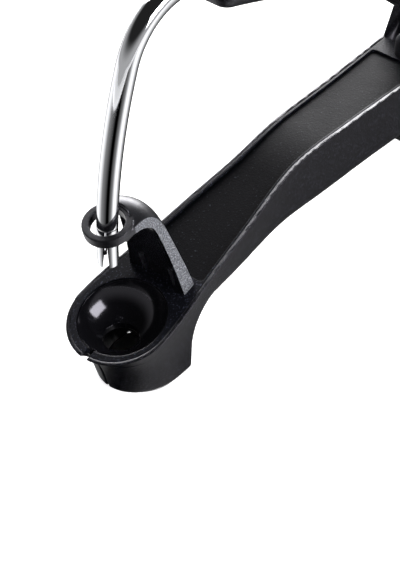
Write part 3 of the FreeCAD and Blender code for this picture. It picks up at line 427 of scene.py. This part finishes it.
def makeHoodArch(plan):
    # the outer and inner faces joined round their borders; the front border follows the ring's middle line
    rows, across = plan["rows"], plan["columns"]
    outer = archFace(plan, "outerEdge", plan["crown"])
    inner = archFace(plan, "innerEdge", plan["hollow"])
    middle = (plan["ringRadius"] + plan["holeRadius"]) / 2
    nearRing = np.linspace(0.0, 1.0, rows)[:, None] < plan["ringShare"]
    for face in (outer, inner):
        front = plan["ringX"] + np.sqrt(np.maximum(middle ** 2 - face[0, :, 1] ** 2, 0.0))
        moved = np.where(nearRing, np.maximum(face[..., 0], front), face[..., 0])
        face[..., 2] += (moved - face[..., 0]) * math.tan(math.radians(plan["tilt"]))
        face[..., 0] = moved
    columns = 2 * across
    points = np.concatenate((outer, inner[:, ::-1]), 1).reshape(-1, 3)
    faces = quadsBetweenRings(rows, columns).tolist()
    for start in (0, (rows - 1) * columns):
        strip = np.arange(start, start + columns)
        outerLine, innerLine = strip[:across], strip[across:][::-1]
        faces += np.stack((outerLine[:-1], outerLine[1:], innerLine[1:], innerLine[:-1]), -1).tolist()
    return points, faces


def makeHoodRing(plan):
    # a flat ring on its tilt: the outline of its section turned round the ring's axis
    turns = fullTurn(plan["around"])
    low = -plan["ringThickness"]
    section = np.array([(plan["holeRadius"], 0.0), (plan["ringRadius"], 0.0), (plan["ringRadius"], low),
                        (plan["holeRadius"], low)])
    along = section[:, :1] * np.cos(turns)
    across = section[:, :1] * np.sin(turns)
    up = np.repeat(section[:, 1:], len(turns), 1)
    lean = math.radians(plan["tilt"])
    points = np.stack((plan["ringX"] + along * math.cos(lean) - up * math.sin(lean), across,
                       plan["ringTop"] + along * math.sin(lean) + up * math.cos(lean)), -1)
    # the section's last corner joins its first
    faces = quadsBetweenRings(len(section) + 1, len(turns)) % (len(section) * len(turns))
    return points.reshape(-1, 3), faces.tolist()


def readFaces(mesh, field):
    # one row of three numbers for each face
    values = np.empty(len(mesh.polygons) * 3)
    mesh.polygons.foreach_get(field, values)
    return values.reshape(-1, 3)


def makeHood(plan):
    # ring and arch grown together on a fine lattice, then smoothed so that every edge is slightly round
    ringPoints, ringFaces = makeHoodRing(plan)
    archPoints, archFaces = makeHoodArch(plan)
    joined = [[index + len(ringPoints) for index in face] for face in archFaces]
    hood = makePiece("hoodShell", np.concatenate((ringPoints, archPoints)), ringFaces + joined, [], "base",
                     replaced=("hood",))
    lattice = hood.modifiers.new("lattice", "REMESH")
    lattice.mode = "VOXEL"
    lattice.voxel_size = plan["voxel"] / mmPerMetre
    easing = hood.modifiers.new("easing", "SMOOTH")
    easing.factor = plan["easing"]
    easing.iterations = plan["smoothing"]
    shaped = applyModifiers(hood, (paintedLitSideAbs, fineSatinAbs, polishedAbs))
    # the sides are painted a lit matt grey (0); what faces the rod or down is polished (2); the rest is
    # fine-textured (1)
    normals = readFaces(shaped, "normal")
    beyond = readFaces(shaped, "center")[:, 0] * mmPerMetre + middleX - plan["ringX"]
    # the sides that face across get the grey of painted light
    side = (np.abs(normals[:, 1]) > plan["sideNormal"]) & (beyond > plan["sideBeyond"])
    inside = (normals[:, 2] < plan["downNormal"]) | (normals[:, 0] < plan["rodNormal"])
    kind = np.where(side, 0, np.where(inside & (beyond > plan["insideBeyond"]), 2, 1))
    shaped.polygons.foreach_set("material_index", kind.astype(np.int32))
    print("stage: hood made,", len(kind), "faces")


makeHood(hoodPlan)

# the slot down the skirt's front, in millimetres; edges sharper than sharpFrom degrees stay crisp
slotPlan = {"x": (-9.0, -0.6), "halfWidth": 0.45, "z": (-1.0, 15.5), "sharpFrom": 35.0,
            "boxFaces": [(0, 1, 3, 2), (4, 6, 7, 5), (0, 4, 5, 1), (2, 3, 7, 6), (0, 2, 6, 4),
                         (1, 5, 7, 3)]}


def makeSlottedShell(plan):
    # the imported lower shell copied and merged, with a narrow box taken out of the copy's front wall
    source = nodes["lower_shell"]
    mesh = source.data.copy()
    mesh.transform(source.matrix_world)
    mergeDoubles(mesh)
    shell = addObject("slottedShell", mesh)
    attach(shell, "base")
    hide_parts("lower_shell")
    sides = (-plan["halfWidth"], plan["halfWidth"])
    corners = np.array([(x, y, z) for x in plan["x"] for y in sides for z in plan["z"]])
    boxMesh = bpy.data.meshes.new("slotBox")
    boxMesh.from_pydata(toModel(corners).tolist(), [], plan["boxFaces"])
    cutter = addObject("slotBox", boxMesh)
    cut = shell.modifiers.new("slot", "BOOLEAN")
    cut.operation = "DIFFERENCE"
    cut.solver = "EXACT"
    cut.object = cutter
    shaped = applyModifiers(shell, (sparkErodedAbs,))
    bpy.data.objects.remove(cutter)
    bpy.data.meshes.remove(boxMesh)
    shaped.polygons.foreach_set("material_index", np.zeros(len(shaped.polygons), dtype=np.int32))
    shaped.set_sharp_from_angle(angle=math.radians(plan["sharpFrom"]))
    print("stage: skirt slot cut,", len(shaped.polygons), "faces")


makeSlottedShell(slotPlan)

# the studio: a pale floor that glows where it is seen, a sky that is bright low down and dim overhead, and
# soft boxes that all face the head of the tool
studio = {"floorSize": 6.0, "floorColour": "#e9e9ea", "floorGlow": 0.8, "floorRough": 0.9,
          "floorSpecular": 0.1, "shadeHalf": (0.0106, 0.0113, 1.0), "shadeCentre": (-0.0628, 0.0, 0.0),
          "skyLow": 0.5, "skyHigh": 0.02, "skyFrom": 0.1, "skyTo": 0.6, "aim": (-0.05, 0.0, 0.04)}
softBoxes = [
    {"name": "boxBehind", "place": (0.42, 0.60, 0.48), "size": (0.8, 0.5), "power": 4.5, "glossy": True},
    {"name": "boxRim", "place": (0.50, 0.52, 0.24), "size": (0.7, 0.42), "power": 11.0, "glossy": True},
    {"name": "boxRight", "place": (0.12, -0.62, 0.42), "size": (0.5, 0.3), "power": 6.0, "glossy": True},
    {"name": "boxLeft", "place": (-0.75, 0.35, 0.35), "size": (0.25, 0.7), "power": 1.5, "glossy": False},
    {"name": "boxTop", "place": (-0.1, -0.05, 0.95), "size": (0.5, 0.5), "power": 1.0, "glossy": False}]


def makeFloor(setup):
    # a square at the height of the foot; its glow shows to camera, transmission and glossy rays alone
    half = setup["floorSize"] / 2
    mesh = bpy.data.meshes.new("floor")
    corners = [(-half, -half, 0), (half, -half, 0), (half, half, 0), (-half, half, 0)]
    mesh.from_pydata(corners, [], [(0, 1, 2, 3)])
    floor = addObject("floor", mesh)
    material, tree = startMaterial("paperSweep")
    path = addNode(tree, "ShaderNodeLightPath")
    through = addNode(tree, "ShaderNodeMath", settings={"operation": "MAXIMUM"},
                      links={0: path.outputs["Is Camera Ray"], 1: path.outputs["Is Transmission Ray"]})
    seen = addNode(tree, "ShaderNodeMath", settings={"operation": "MAXIMUM"},
                   links={0: through.outputs[0], 1: path.outputs["Is Glossy Ray"]})
    # the floor inside the foot's hollow, an ellipse about the foot's middle, gets no glow of its own
    place = addNode(tree, "ShaderNodeTexCoord")
    scaled = addNode(tree, "ShaderNodeMapping", settings={"vector_type": "TEXTURE"},
                     values={"Location": setup["shadeCentre"], "Scale": setup["shadeHalf"]},
                     links={"Vector": place.outputs["Object"]})
    away = addNode(tree, "ShaderNodeVectorMath", settings={"operation": "LENGTH"},
                   links={0: scaled.outputs["Vector"]})
    beyond = addNode(tree, "ShaderNodeMath", settings={"operation": "GREATER_THAN"}, values={1: 1.0},
                     links={0: away.outputs["Value"]})
    lit = addNode(tree, "ShaderNodeMath", settings={"operation": "MULTIPLY"},
                  links={0: seen.outputs[0], 1: beyond.outputs[0]})
    glow = addNode(tree, "ShaderNodeMath", settings={"operation": "MULTIPLY"},
                   values={1: setup["floorGlow"]}, links={0: lit.outputs[0]})
    shader = addNode(tree, "ShaderNodeBsdfPrincipled",
                     values={"Base Color": linearColour(setup["floorColour"]),
                             "Roughness": setup["floorRough"], "Specular IOR Level": setup["floorSpecular"],
                             "Emission Color": (1, 1, 1, 1)},
                     links={"Emission Strength": glow.outputs[0]})
    finishMaterial(tree, shader)
    mesh.materials.append(material)


# a painted reflection for the chrome to mirror from below, a glow by the share of a turn round the rod:
# black in front, a white stretch on each side, grey to black behind; frontTurn is the front's direction in
# degrees, lengths are in metres
sheet = {"centre": (-0.0713, 0.0), "radius": 0.7, "height": 0.0004, "around": 96, "frontTurn": 221.0,
         "glow": 1.5, "nearGlow": 0.35, "nearFrom": 0.018, "nearTo": 0.05,
         "tones": [(0.0, 0.3), (0.13, 0.6), (0.18, 1.0), (0.24, 0.9), (0.33, 0.2), (0.43, 0.06),
                   (0.47, 0.0), (0.52, 0.0), (0.6, 0.2), (0.66, 1.0), (0.72, 1.0), (0.8, 0.25),
                   (0.88, 0.05), (1.0, 0.02)]}


def makePaintedReflection(setup):
    # a glowing disc just over the floor that only glossy rays see, a painted reflection: its tone goes by
    # the angle round the rod, and painted shade makes it darker close to the foot
    turns = fullTurn(setup["around"])
    centreX, centreY = setup["centre"]
    places = np.stack((centreX + setup["radius"] * np.cos(turns), centreY + setup["radius"] * np.sin(turns),
                       np.full_like(turns, setup["height"])), -1)
    mesh = bpy.data.meshes.new("paintedReflection")
    mesh.from_pydata(places.tolist(), [], [list(range(len(turns)))])
    card = addObject("paintedReflection", mesh)
    card.visible_camera = card.visible_diffuse = card.visible_shadow = card.visible_transmission = False
    material, tree = startMaterial("paintedReflection")
    place = addNode(tree, "ShaderNodeTexCoord")
    mapping = addNode(tree, "ShaderNodeMapping", settings={"vector_type": "TEXTURE"},
                      values={"Location": (centreX, centreY, 0.0),
                              "Rotation": (0.0, 0.0, math.radians(setup["frontTurn"]))},
                      links={"Vector": place.outputs["Object"]})
    parts = addNode(tree, "ShaderNodeSeparateXYZ", links={"Vector": mapping.outputs["Vector"]})
    turn = addNode(tree, "ShaderNodeMath", settings={"operation": "ARCTAN2"},
                   links={0: parts.outputs["Y"], 1: parts.outputs["X"]})
    share = addNode(tree, "ShaderNodeMapRange", values={"From Min": -math.pi, "From Max": math.pi},
                    links={"Value": turn.outputs[0]})
    ramp = addNode(tree, "ShaderNodeValToRGB", links={"Fac": share.outputs["Result"]})
    stops = ramp.color_ramp.elements
    first, *between, last = setup["tones"]
    for position, tone in between:
        stops.new(position).color = (tone, tone, tone, 1.0)
    stops[0].color = (first[1],) * 3 + (1.0,)
    stops[-1].color = (last[1],) * 3 + (1.0,)
    # painted shade: the glow is weaker close to the foot
    away = addNode(tree, "ShaderNodeVectorMath", settings={"operation": "LENGTH"},
                   links={0: mapping.outputs["Vector"]})
    strength = addNode(tree, "ShaderNodeMapRange", settings={"interpolation_type": "SMOOTHSTEP"},
                       values={"From Min": setup["nearFrom"], "From Max": setup["nearTo"],
                               "To Min": setup["nearGlow"], "To Max": setup["glow"]},
                       links={"Value": away.outputs["Value"]})
    shader = addNode(tree, "ShaderNodeEmission",
                     links={"Color": ramp.outputs["Color"], "Strength": strength.outputs["Result"]})
    finishMaterial(tree, shader)
    mesh.materials.append(material)


def makeSky(setup):
    # strength falls with height from skyLow to skyHigh; the camera sees white everywhere
    world = bpy.data.worlds.new("studioSky")
    bpy.context.scene.world = world
    world.use_nodes = True
    tree = world.node_tree
    tree.nodes.clear()
    place = addNode(tree, "ShaderNodeTexCoord")
    parts = addNode(tree, "ShaderNodeSeparateXYZ", links={"Vector": place.outputs["Generated"]})
    level = addNode(tree, "ShaderNodeMapRange", settings={"interpolation_type": "SMOOTHSTEP"},
                    values={"From Min": setup["skyFrom"], "From Max": setup["skyTo"],
                            "To Min": setup["skyLow"], "To Max": setup["skyHigh"]},
                    links={"Value": parts.outputs["Z"]})
    path = addNode(tree, "ShaderNodeLightPath")
    strength = addNode(tree, "ShaderNodeMix", settings={"data_type": "FLOAT"}, values={"B": 1.0},
                       links={"Factor": path.outputs["Is Camera Ray"], "A": level.outputs["Result"]})
    sky = addNode(tree, "ShaderNodeBackground", values={"Color": (1, 1, 1, 1)},
                  links={"Strength": strength.outputs[0]})
    addNode(tree, "ShaderNodeOutputWorld", links={"Surface": sky.outputs[0]})


def makeSoftBox(box, aimPoint):
    # a flat lamp turned towards the aim point; the camera doesn't see it
    lamp = bpy.data.lights.new(box["name"], "AREA")
    lamp.shape = "RECTANGLE"
    lamp.size, lamp.size_y = box["size"]
    lamp.energy = box["power"]
    holder = addObject(box["name"], lamp)
    aim = Vector(aimPoint) - Vector(box["place"])
    turn = aim.to_track_quat("-Z", "Y").to_matrix().to_4x4()
    holder.matrix_world = Matrix.Translation(box["place"]) @ turn
    holder.visible_camera = False
    holder.visible_glossy = box["glossy"]


makeFloor(studio)
makePaintedReflection(sheet)
makeSky(studio)
for box in softBoxes:
    makeSoftBox(box, studio["aim"])
print("stage: studio set up")
